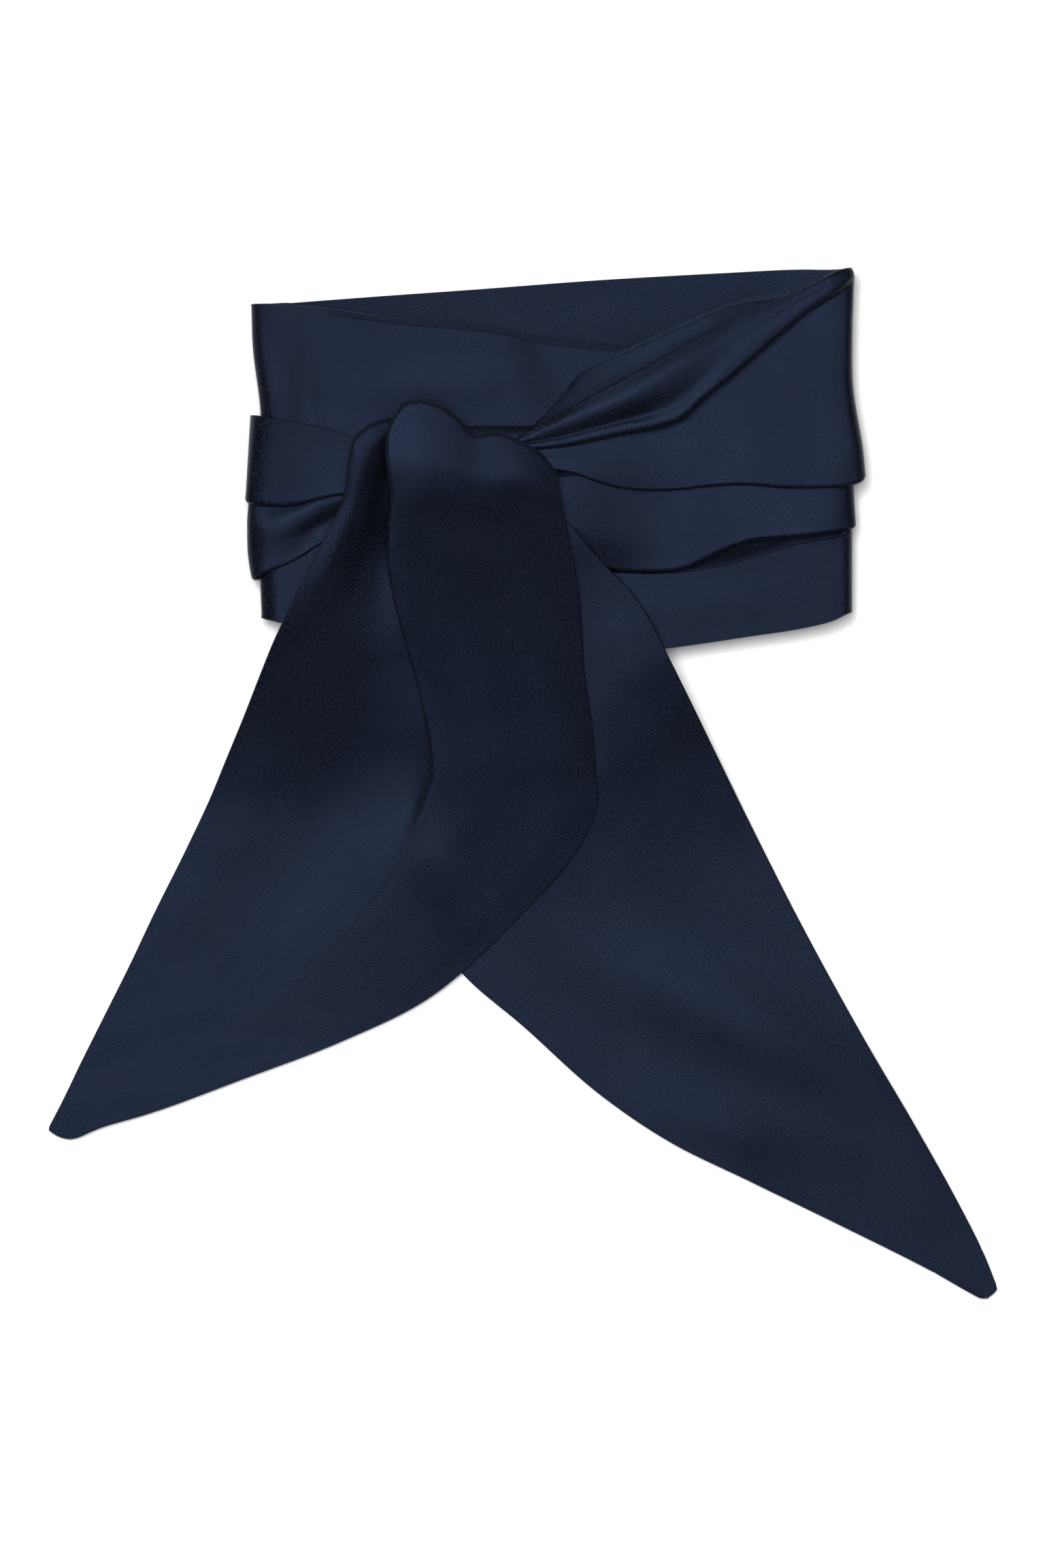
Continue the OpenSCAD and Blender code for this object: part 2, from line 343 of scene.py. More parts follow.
def double(name, rails, face_nodes, lining_nodes=(), core_nodes=(), hollows=(), step=1.5, passes=2,
           down=False, tail=None, hem=None):
    """A stretch of the tie on one lofted sheet: a face, a lining, and interlining where it has any."""
    gap = LAYER_GAP + (CORE + LAYER_GAP if core_nodes else 0)
    shift = (LAYER + gap) / 2
    grid = softened(swell(loft(rails, step), hollows), passes)
    grid[..., 2] = np.maximum(grid[..., 2], shift + LAYER / 2 + LAYER_GAP)
    edge = grid[:, -1]
    inside = grid[:, -3]
    faces_down = normals(grid)[..., 2].mean() < 0
    if faces_down != down:
        grid = grid[:, ::-1]
    face = cloth(f"{name}_face", grid, shift, LAYER, FACE)
    lining = cloth(f"{name}_lining", grid, -shift, LAYER, LINING)
    if hem:
        hem_strip(f"{name}_hem", edge, inside, shift + LAYER / 2, *hem)
    declare(face, tail)
    declare(lining, tail)
    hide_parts(*face_nodes)
    if lining_nodes:
        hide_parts(*lining_nodes)
    if core_nodes:
        inner = grid[CORE_INSET:-CORE_INSET, CORE_INSET:-CORE_INSET]
        core = cloth(f"{name}_interlining", inner, 0, CORE, INTERLINING)
        declare(core, tail)
        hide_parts(*core_nodes)
    return grid


def follow(obj, tail):
    """A neckband piece is attached to the neckband's body; a tail's piece only has its placement baked into
    its points.
    """
    if tail:
        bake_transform(obj)
    else:
        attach(obj, "root")


def declare(obj, tail):
    """Says what a sheet moves with."""
    follow(obj, tail)


def hem_strip(name, edge, inside, lift, start, end):
    """The hem's turned strip, lying this high on a sheet along its edge rail from x = start to x = end."""
    x, height = edge[:, 0], edge[:, 2]
    chosen = (x >= start) & (x <= end) & (height > height.max() - HEM_DROP)
    inward = inside - edge
    inward /= np.linalg.norm(inward, axis=1, keepdims=True)
    strip = np.array([edge + inward * t for t in (0, HEM_WIDE / 2, HEM_WIDE)])[:, chosen]
    strip[..., 2] += lift + HEM_THICK / 2
    obj = cloth(name, strip, 0, HEM_THICK, EDGE)
    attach(obj, "root")
    return obj


def free_edge(grid):
    """A blade's edge, round the tip from side to side: its points, the ways out and the ways up."""
    rows, cols = grid.shape[:2]
    loop = [(i, 0) for i in range(rows - 1)] + [(rows - 1, j) for j in range(cols)]
    loop += [(i, cols - 1) for i in range(rows - 2, -1, -1)]
    out, up = edge_outward(grid), normals(grid)
    return [np.array([a[i, j] for i, j in loop]) for a in (grid, out, up)]


def tube(name, path, out, up, radius, material, sides=8, closed=False):
    """A round cord of this radius along a path. out and up are its two cross directions at each point."""
    turn = np.arange(sides) * 2 * math.pi / sides
    ring = np.cos(turn)[None, :, None] * out[:, None] + np.sin(turn)[None, :, None] * up[:, None]
    co = (path[:, None] + radius * ring).reshape(-1, 3)
    count = len(path)
    faces = []
    for k in range(count if closed else count - 1):
        for side in range(sides):
            a, b = k * sides + side, k * sides + (side + 1) % sides
            c, d = (k + 1) % count * sides + (side + 1) % sides, (k + 1) % count * sides + side
            faces.append((a, b, c, d))
    if not closed:
        faces += [tuple(range(sides))[::-1], tuple(range((count - 1) * sides, count * sides))]
    if np.dot(np.cross(up[0], path[1] - path[0]), out[0]) < 0:
        faces = [face[::-1] for face in faces]
    run = np.concatenate([[0], np.cumsum(np.linalg.norm(np.diff(path, axis=0), axis=1))])
    places = np.stack([np.repeat(run, sides), np.tile(turn * radius, count)], axis=-1) * MM
    mesh = bpy.data.meshes.new(name)
    mesh.from_pydata((co * MM).tolist(), [], faces)
    mesh.polygons.foreach_set("use_smooth", [len(face) == 4 for face in faces])
    vertex = np.zeros(len(mesh.loops), int)
    mesh.loops.foreach_get("vertex_index", vertex)
    mesh.uv_layers.new(name="cloth").data.foreach_set("uv", places[vertex].ravel())
    obj = bpy.data.objects.new(name, mesh)
    bpy.context.scene.collection.objects.link(obj)
    obj.data.materials.append(material)
    return obj


def edge_seam(name, grid, tail, nodes):
    """The rounded seam where a blade's face and lining meet, all round its free edge."""
    path, out, up = free_edge(grid)
    obj = tube(name, path, out, up, SEAM_RADIUS, EDGE)
    follow(obj, tail)
    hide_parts(*nodes)


def tip_stitches(name, grid, tail, nodes):
    """A few hand stitches over the edge at a blade's tip, where it was turned and closed."""
    path, out, up = free_edge(grid)
    first = len(path) // 2 - STITCHES // 2
    turn = np.arange(STITCH_POINTS) * 2 * math.pi / STITCH_POINTS
    reach = SEAM_RADIUS + THREAD_RADIUS * THREAD_PROUD
    loops = []
    for k in range(STITCHES):
        at = first + k
        along = path[at + 1] - path[at]
        along /= np.linalg.norm(along)
        round_edge = np.cos(turn)[:, None] * out[at] + np.sin(turn)[:, None] * up[at]
        slant = STITCH_SLANT * np.sin(turn)[:, None] * along
        points = path[at] + reach * round_edge + slant
        side = np.repeat(along[None], len(turn), axis=0)
        stitch = tube(f"{name}_{k}", points, round_edge, side, THREAD_RADIUS, THREAD, sides=6, closed=True)
        loops.append(stitch)
    with bpy.context.temp_override(active_object=loops[0], selected_editable_objects=loops):
        bpy.ops.object.join()
    loops[0].name = name
    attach(loops[0], tail[0])
    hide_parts(*nodes)


# ---------------------------------------------------------------- the neckband


def front_panel():
    """First turn: the loop's front from the right turn to the left, with a fold lying up at the right."""
    top = [(92, 84, .5), (104, 84.5, 1.3), (108.6, 85, 4.2), (105, 88, 7.2), (97, 95, 7.6), (84, 113, 7.7),
           (60, 134, 7.8), (35, 145, 7.9), (20, 147, 8), (5, 149, 8.1), (-8, 152, 8.2), (-44, 155.5, 8.2),
           (-65, 158.5, 8.2), (-84, 160, 8.2), (-88.6, 160, 7.4), (-90, 160, 4.9), (-88, 160, 2.7),
           (-78, 160.5, 1.9)]
    bottom = [(92, 56, .5), (104, 56.5, 1.2), (109.4, 57.4, 4.6), (108.4, 57, 7.3), (103.6, 54.6, 8.2),
              (93, 52, 8.2), (76, 49.4, 8.1), (60, 47, 8), (48, 45.5, 8), (30, 45, 7.8), (0, 46, 7.8),
              (-30, 48, 7.8), (-50, 50, 7.8), (-72, 53, 7.8), (-83, 54.5, 7.6), (-86.6, 55.5, 4.9),
              (-84, 55, 2.7), (-76, 54.5, 1.9)]
    fold = [(92, 83, 1.4), (104, 83.5, 2.4), (109.4, 84, 5), (108.4, 83.6, 8.1), (103.4, 82.4, 9.2),
            (92, 80.4, 9.5), (79, 76.5, 9.5), (67, 73.3, 9.4), (54, 71.2, 9.2), (38, 70.5, 8.8),
            (15, 72, 8.1), (-15, 76, 7.9), (-45, 84, 7.9), (-72, 88, 7.9), (-85, 88, 7.6), (-88, 88, 4.9),
            (-86, 88, 2.7), (-77, 88, 1.9)]
    # The fold goes round the right turn in four points, lies open for five and runs out to the left.
    under = shifted(fold[:9], 0, -4.5, -1.3) + shifted(fold[9:11], 0, -2, -.5) + shifted(fold[11:], 0, 3, 0)
    deep = shifted(fold[:4], 0, 1, -1) + shifted(fold[4:9], 0, -1, -3.2) + shifted(fold[9:11], 0, 3, -.9)
    deep += shifted(fold[11:], 0, 8, 0)
    rise = shifted(fold[:4], 0, 6, -.9) + shifted(fold[4:9], 0, 9, -.6) + shifted(fold[9:11], 0, 9, -.8)
    rise += shifted(fold[11:], 0, 14, 0)
    waist, chest = between(rise, top, .35, .75)
    waist[-4:-1, 0] += 1.8  # the left turn draws in a little below the top
    return [bottom, *between(bottom, fold, .3, .7, .96), fold, under, deep, rise, waist, chest, top]


def build_front_panel():
    """The only stretch with interlining, and with soft dents where it was pulled into the knot."""
    hollows = [(-72, 127, 17, 5, 95, -1.1), (-28, 133, 26, 6, 3, .35), (0, 128, 30, 18, -15, -.3),
               (60, 60, 30, 6, 5, .2)]
    double("front_panel", front_panel(), ["centre_panel_face", "left_first_turn", "right_first_turn"],
           ["centre_panel_lining"], ["centre_panel_interlining"], hollows, hem=(-66, 36))


def build_back_strands():
    """The two plain strands behind: the inner one shows above the front panel, the outer one is covered."""
    top = [(-82, 160, 1.9), (-49, 162.5, 1.8), (-14, 165, 1.8), (26, 168, 1.8), (70, 170.5, 1.8),
           (88, 171.4, 2.2), (96, 171.5, 3.4), (104, 171.2, 4.6)]
    bottom = [(-82, 54, 1.9), (-49, 55, 1.8), (-14, 58, 1.8), (26, 66, 1.8), (70, 88, 1.8), (88, 98, 2.2),
              (96, 102, 3.4), (104, 104, 4.6)]
    double("back_inner_strand", [bottom, *between(bottom, top, .25, .5, .75), top], ["back_inner_strand"],
           down=True, hollows=[(20, 150, 50, 10, 8, .3)])
    top = [(-80, 122, .5), (-30, 114, .5), (30, 100, .5), (70, 90, .5), (95, 84.5, .5)]
    bottom = [(-80, 68, .5), (-30, 62, .5), (30, 56, .5), (70, 55, .5), (95, 56, .5)]
    double("back_outer_strand", [bottom, *between(bottom, top, .33, .66), top], ["back_outer_strand"],
           down=True)


def build_right_wrap():
    """Second turn at the right: big panel, twisted roll of two lobes, and the hem flat above the roll."""
    fold = [(96, 101, 2.1), (108, 101.6, 2.9), (114, 103, 6.2), (113.2, 101.2, 9), (109, 99.7, 10.3),
            (98, 99, 10.9), (87, 99, 11), (75, 100, 11), (62, 99.5, 11.1), (54, 98.5, 11.2), (42, 98, 11.6),
            (32, 99, 12.5), (25, 101, 13.2), (18, 103.5, 13.8), (10, 105, 14), (0, 104.5, 14)]
    low = [(96, 109, 1.7), (107.5, 110, 2.3), (113.1, 112, 6), (112.3, 110.6, 9.4), (107.4, 108.6, 10.7),
           (98, 106.6, 10.9), (87, 106, 11), (75, 106.5, 10.9), (62, 105.5, 11), (54, 104, 11.3),
           (42, 103.5, 11.8), (32, 104, 12.7), (25, 105.3, 13.3), (18, 106.6, 13.6), (10, 107, 13.7),
           (0, 106, 13.7)]
    mid = [(96, 130, 1.7), (106, 131, 2.3), (109.9, 133, 5.8), (109, 131.6, 9), (104.6, 129.6, 10.2),
           (96, 127, 10.4), (86, 122, 10.4), (76, 118, 10.4), (64, 113.6, 10.6), (55, 110.6, 10.95),
           (44, 108.6, 11.5), (33.6, 107.8, 12.3), (25.4, 108, 12.9), (17, 108.4, 13.4), (9, 108.6, 13.5),
           (0, 107.5, 13.5)]
    near = [(96, 150, 1.7), (106, 151, 2.3), (109.7, 152.6, 5.8), (109, 153, 9), (105, 150.6, 10.2),
            (97, 145, 10.3), (86, 134, 10.35), (74.6, 125, 10.35), (62.4, 119, 10.5), (54.2, 114.8, 10.8),
            (44.2, 112, 11.3), (34.6, 110.8, 12), (25, 110.2, 12.65), (15.6, 109.8, 13.2), (6, 109.4, 13.4),
            (-1, 108.4, 13.4)]
    seam = [(96, 164, 1.7), (106, 165, 2.3), (110, 166.4, 5.8), (109.7, 167, 8.6), (104.4, 162.8, 10.1),
            (94.4, 158.9, 10.3), (81.6, 148.8, 10.3), (68.6, 137.6, 10.3), (58.2, 129.6, 10.4),
            (52, 123.4, 10.6), (43.6, 120, 11), (35, 118.2, 11.6), (24.8, 115.9, 12.3), (14, 113.6, 13),
            (4, 112.4, 13.3), (-2, 111.6, 13.3)]
    lower_lip = [(96, 166, 1.7), (106, 167, 2.3), (110.2, 168, 6), (109.7, 168.1, 9), (104.4, 163.6, 11.5),
                 (95.3, 157.9, 13), (82.6, 147.5, 13.8), (69.8, 136.3, 14), (59.7, 128, 14.1),
                 (53.3, 121.9, 14), (44.4, 118.8, 14), (35.5, 117.2, 14.1), (25, 115, 14.3),
                 (14, 112.8, 14.5), (4, 111.8, 14.4), (-2, 111.2, 13.9)]
    lower_crest = [(96, 167.2, 1.7), (106, 168.2, 2.3), (110.2, 169, 6.2), (109.7, 169.1, 9.8),
                   (104.6, 164.8, 12.1), (95, 158.8, 13.4), (82, 148.6, 14.1), (69, 137.6, 14.3),
                   (58.6, 129.8, 14.3), (52, 124.2, 14.2), (43, 121, 14.2), (34, 119.3, 14.3),
                   (24, 116.9, 14.5), (13.6, 114.4, 14.7), (4.2, 113, 14.6), (-2, 112.1, 14.4)]
    valley = [(96, 168.4, 1.7), (106, 169.4, 2.3), (110.1, 170, 6.2), (109.6, 170.1, 10),
              (104.8, 166.8, 12.2), (94.8, 161.6, 13.4), (81.2, 152.6, 14.1), (67.6, 143, 14.2),
              (57.6, 132.2, 13.8), (51, 126.8, 13.6), (42.2, 123.4, 13.5), (33.4, 121.3, 13.6),
              (23.4, 118.5, 13.9), (13.2, 115.8, 14.2), (4.2, 114.2, 14.1), (-2, 113.1, 13.8)]
    upper_body = [(96, 169.8, 1.7), (106, 170.6, 2.3), (109.8, 170.9, 6.2), (109.4, 171, 10),
                  (105.1, 169.2, 12), (95, 164, 13), (82, 156.6, 13.7), (68.6, 149.2, 14.1),
                  (59.4, 144.4, 14.6), (52.4, 140.4, 15.1), (42.8, 134.4, 15.6), (32.4, 128.6, 15.6),
                  (21.8, 124.4, 15.3), (12.2, 120.2, 15.1), (4.2, 116.6, 14.5), (-2, 114, 14.2)]
    upper_lip = [(96, 171.2, 1.8), (105.6, 171.4, 2.5), (109.4, 171.8, 6.2), (109, 171.8, 9.4),
                 (105.5, 170.9, 11.4), (95.3, 165.8, 12.5), (82.6, 160, 12.8), (69.8, 154.4, 12.8),
                 (61.6, 150.6, 12.9), (54.6, 146.8, 13.2), (44.4, 141, 13.5), (33.4, 134.9, 13.7),
                 (22, 128.7, 13.8), (12, 123.1, 13.7), (4, 118.5, 13.8), (-2, 115, 13.6)]
    under = [(96, 170.8, 2.4), (105.4, 171, 3), (108.6, 171.4, 6), (108, 171.2, 8.7), (104.6, 170.4, 10.2),
             (94.4, 165.2, 10.9), (81.9, 159.4, 11.1), (69.1, 153.6, 11.2), (61, 149.8, 11.3),
             (54.2, 146, 11.4), (44, 140.3, 11.5), (33, 134.2, 11.6), (21.7, 128.1, 11.8),
             (11.7, 122.4, 12.1), (3.8, 117.8, 12.4), (-2, 114.6, 12.6)]
    flap = [(96, 169.8, 2.7), (105, 170.1, 3.3), (107.6, 170.4, 6), (106.8, 170.2, 8.2), (102.8, 168.4, 8.9),
            (93, 163.6, 9.2), (80.6, 157.6, 9.2), (68, 151.6, 9.2), (60.2, 148, 9.2), (53.4, 144.6, 9.2),
            (43, 138.6, 9.2), (32.4, 132.8, 9.2), (21, 126.8, 9.3), (11, 121.2, 9.8), (3.4, 116.8, 10.4),
            (-2, 114.2, 10.8)]
    hem = [(96, 170.6, 2.9), (105, 170.8, 3.5), (107.8, 171.2, 6), (106.9, 171, 8.1), (102.8, 169.4, 8.9),
           (94, 165.4, 9.1), (83.6, 163.4, 9), (74, 161.8, 8.9), (65, 159, 8.9), (56, 155.2, 8.9),
           (47, 151.1, 8.9), (38, 146.9, 8.9), (30, 143.2, 8.9), (23, 140, 9), (17.8, 135.2, 9.1),
           (13.6, 128.4, 9.4)]
    wall = between(valley, upper_body, .5)[0]
    wall[:, 2] += .3 * (np.array(upper_body)[:, 2] - np.array(valley)[:, 2])
    rails = [shifted(fold, -.4, 1.2, -1), fold, *between(fold, low, .12), low, mid, near,
             *between(near, seam, .5, .9), seam, lower_lip, lower_crest, valley, wall, upper_body,
             *between(upper_body, upper_lip, .8), upper_lip, under, flap, *between(flap, hem, .5), hem]
    double("right_wrap", rails, ["right_wrap_panel", "right_wrap_roll", "right_second_turn"],
           ["right_wrap_hem_flap"], step=1.2, passes=1, hem=(13, 90))


def build_right_pleat():
    """The pleat under the big panel, gathered up towards the knot."""
    fold = [(94, 85.5, 2), (105, 86, 2.7), (110.8, 86.3, 5.2), (110.2, 85.6, 7.8), (107, 84.7, 8.9),
            (99, 83.6, 9.8), (87.5, 82.5, 10.2), (75, 81, 10.2), (68, 78.5, 10), (62, 75.8, 9.9),
            (56, 72.8, 9.9), (50, 71.2, 9.8), (42, 70.9, 9.8), (32, 71.2, 10.2), (22, 74, 11.2),
            (12, 80, 12.4), (2, 88, 13)]
    low = shifted(fold[:2], 0, 7, -.4)
    low += [(110.4, 94, 5.2), (109.4, 93, 7.8), (105.6, 91.5, 9.1), (98.6, 90, 9.7), (87.5, 89, 9.9),
            (75, 88, 9.9), (68, 86.6, 9.8), (62, 85, 9.7), (56, 83, 9.8), (50, 81.4, 9.9), (42, 80.6, 10.4),
            (32, 81.4, 11.8), (22, 84, 13.2), (12, 87.6, 14), (2, 92, 14)]
    top = [(94, 100, 1.8), (105, 101, 2.6), (110, 103, 5.2), (108.6, 104, 7.6), (104.6, 106, 8.8),
           (98, 108, 9.1), (87.5, 110, 9.1), (75, 111, 9.1), (68, 111, 9.1), (62, 110, 9.1), (56, 109, 9.3),
           (50, 108, 9.6), (42, 106, 10.2), (32, 104, 11.1), (22, 103, 12), (12, 102, 12.6), (2, 100, 12.8)]
    rails = [shifted(fold, -.4, 1.2, -1.1), fold, *between(fold, low, .15), low, *between(low, top, .4, .75),
             top]
    double("right_pleat", rails, ["right_wrap_lower_pleat"], step=1.2, passes=1)


def build_left_strap():
    """Second turn at the left: an upper band, and below its fold a lower pleat that dives under the tail."""
    hem = [(-76, 122, .5), (-86, 122.2, 1.1), (-90.4, 122.8, 5), (-88.6, 122.7, 9.8), (-82, 121.6, 12),
           (-75, 120.2, 12.1), (-68, 118.9, 11.9), (-62, 117.3, 11.5), (-56, 115.2, 11.1),
           (-49, 112.5, 10.4), (-40, 110, 9.6)]
    fold = [(-76, 94.4, .6), (-87, 94.6, 1.2), (-92, 94.6, 4.8), (-91.4, 94, 7.4), (-88, 93.2, 8.8),
            (-80.8, 92.6, 9.3), (-75, 93.2, 10), (-69.6, 94.6, 10.7), (-64, 95.8, 11.2), (-54, 97.4, 11),
            (-42, 99, 10.2)]
    tucked = shifted(fold, 1.5, 6, -1)
    deep = shifted(fold, 1.2, 1.4, -1.3)
    ridge = [(-76, 88.4, .5), (-86, 88.4, 1.1), (-91.4, 88.2, 4.8), (-90.6, 87.4, 7.8), (-87, 86.8, 9.5),
             (-81.8, 87.8, 9.9), (-76.4, 89.8, 10.1), (-71, 92.2, 10.2), (-65.4, 94, 10.4),
             (-56, 95.4, 10.2), (-42, 96.4, 9.8)]
    brow = [(-76, 85.4, .5), (-86, 85.4, 1.1), (-91.4, 85.4, 4.8), (-90.6, 84.4, 7.8), (-86.8, 83.6, 9.5),
            (-81.2, 84.2, 10), (-75.6, 86.2, 10), (-70.2, 88.8, 10), (-65, 91, 9.8), (-56, 93, 9.6),
            (-42, 94.8, 9.5)]
    pocket = [(-76, 81.6, .5), (-86, 81.6, 1.1), (-91.4, 81.6, 4.8), (-90.4, 80.6, 7.6), (-86.4, 79.8, 9.2),
              (-80.6, 80.6, 9.5), (-74.8, 82.8, 9.2), (-69.2, 85.8, 8.8), (-64.4, 88.2, 8.8), (-56, 91, 9),
              (-42, 93.6, 9.3)]
    bulge = [(-76, 76, .5), (-86, 76, 1.1), (-91.2, 76.4, 4.8), (-90, 75.6, 7.4), (-86.4, 75.2, 8.9),
             (-79.6, 76.8, 9.1), (-73.4, 79.4, 8.8), (-68, 82.4, 8.8), (-63.4, 85, 8.8), (-55, 89, 8.9),
             (-42, 92.6, 9.1)]
    edge = [(-76, 68, .6), (-85, 68, 1.2), (-89.8, 68.6, 4.8), (-88.8, 68.3, 7.4), (-86.2, 70.4, 8.7),
            (-79.4, 73.1, 8.8), (-74, 76, 8.8), (-68.4, 79.6, 8.8), (-63, 82.8, 8.8), (-54, 87.4, 8.8),
            (-42, 91.4, 8.9)]
    rails = [shifted(edge, .4, 1, -.5), edge, bulge, pocket, brow, ridge, deep, tucked, fold,
             *between(fold, hem, .15, .5, .85), hem]
    double("left_strap", rails, ["left_strap_upper_pleat", "left_second_turn"], ["left_strap_lower_pleat"],
           step=1.2, passes=1)


# ---------------------------------------------------------------- knot and tails


def build_knot_band():
    """The cloth that crosses inside the knot, showing as a short upright band behind the fold."""

    def ring(x, lift):
        return [(x, 96, 12 + lift), (x, 106, 13.6 + lift), (x, 113, 13.2 + lift), (x, 117.6, 12 + lift),
                (x, 119.2, 10.6), (x, 117, 9.2), (x, 104, 8.9)]

    rails = [ring(-30, .6), ring(-18, .4), ring(-8, 0), ring(-1, .2), ring(2.4, .1), ring(3.4, -.6)]
    double("knot_band", rails, ["knot_core"], step=1.2)


def eased(share):
    """0 to 1, slow at both ends."""
    t = min(max(share, 0), 1)
    return t * t * (3 - 2 * t)


TABLE_LIFT = .9  # height of the front tail on the table
BAND_LIFT = 11.9  # how much higher it lies on the neckband
SAG_END = -18  # y where it reaches the table
SAG_LONG = 93  # and over how much of y it comes down
LOBE_END = -75  # y from which the lobe's top is measured
LOBE_LIFT = 1.2
LOBE_SLOPE = .052
LOBE_BEND = .000365
LOBE_START = .3  # share of the way across the tail where the lobe begins to rise
LOBE_RISE = .36  # share of the way over which it rises
FADE_START = .9  # share of the way across from which it fades towards the right edge
FADE_RATE = 7
ROLL_LIFT = 4.2
ROLL_END = 42
ROLL_LONG = 50
LIP = 1.8  # how far the cloth turns down behind the crown's rim
BROW_SHARE = .2  # where the crown's round rim ends, between its rim and its next point
BROW_LIFT = .5
TUCK = 1.3  # how much lower the cloth lies just beside the lobe's fold
FRONT_TIP_DEPTH = 2.875
REAR_TIP_DEPTH = 1.5

# Each tail's body, and the two places in metres between which its cloth bends away from the neckband.
FRONT_FOLD = ("front_tail", (0, .104, .018), (0, .092, .018))
REAR_FOLD = ("rear_tail", (.020, -.009, .001), (.0345, -.0212, .001))


def valley_height(y):
    """Height of the front tail where it lies lowest: on the neckband, then sagging to the table."""
    return TABLE_LIFT + BAND_LIFT * eased((y - SAG_END) / SAG_LONG)


def lobe_height(y):
    """How far the top of the front tail's lobe stands over its lowest part: it falls ever more gently."""
    along = y - LOBE_END
    top = LOBE_LIFT + LOBE_SLOPE * along + LOBE_BEND * along * along
    return max(0, top - valley_height(y))


def roll_height(y):
    """How far the crest of the narrow roll at the front tail's left side stands over its lowest part."""
    return ROLL_LIFT * eased((y - ROLL_END) / ROLL_LONG)


def tip_round(share, depth):
    """How far the round end of a tail stands out, at this share of the way across, if it is this deep."""
    return 4 * depth * share * (1 - share)


FRONT_LEFT = [(-104, -5), (-113, -24), (-122, -42), (-131, -61), (-139, -77), (-147, -93), (-153, -105.5),
              (-158, -115.2)]
FRONT_RIGHT = [(24.5, -7), (17.5, -22.5), (-3, -46), (-31, -71), (-61, -86), (-94, -98.6), (-123, -109.3),
               (-144, -115.6)]


def front_rail(share, crown, run, lobe=0.0, roll=0.0, edge=0.0):
    """One rail of the front tail: over the knot, down the band, then this share of the way across it.

    On the band its height is the valley's plus these shares of the lobe and the roll, plus edge.
    Below the band the lobe spreads over the right half of the tail and fades out at the right edge.
    """
    low = between(FRONT_LEFT, FRONT_RIGHT, share)[0]
    low[-1, 1] -= tip_round(share, FRONT_TIP_DEPTH)
    down = [(x, y, valley_height(y) + lobe * lobe_height(y) + roll * roll_height(y) + edge) for x, y in run]
    fade = np.linspace(1, min(1, 1 - FADE_RATE * (share - FADE_START)), len(low))
    spread = fade * eased((share - LOBE_START) / LOBE_RISE)
    spread[0] = (spread[0] + lobe) / 2
    flat = [(x, y, valley_height(y) + f * lobe_height(y)) for (x, y), f in zip(low, spread)]
    behind, rim, *rest = crown
    lip = (rim[0], rim[1], rim[2] - LIP)
    brow = between(rim, rest[0], BROW_SHARE)[0] + (0, 0, BROW_LIFT)
    return [behind, lip, rim, brow, *rest, *down, *flat]


def tucked_edge(rail):
    """The rail beside a fold along the given rail: lower on the knot and the band, then level."""
    drop = np.concatenate([np.full(12, TUCK), np.linspace(1.2, 0, 4), np.zeros(7)])
    return [(x + .5 if d else x - 1, y, z - d) for (x, y, z), d in zip(rail, drop)]


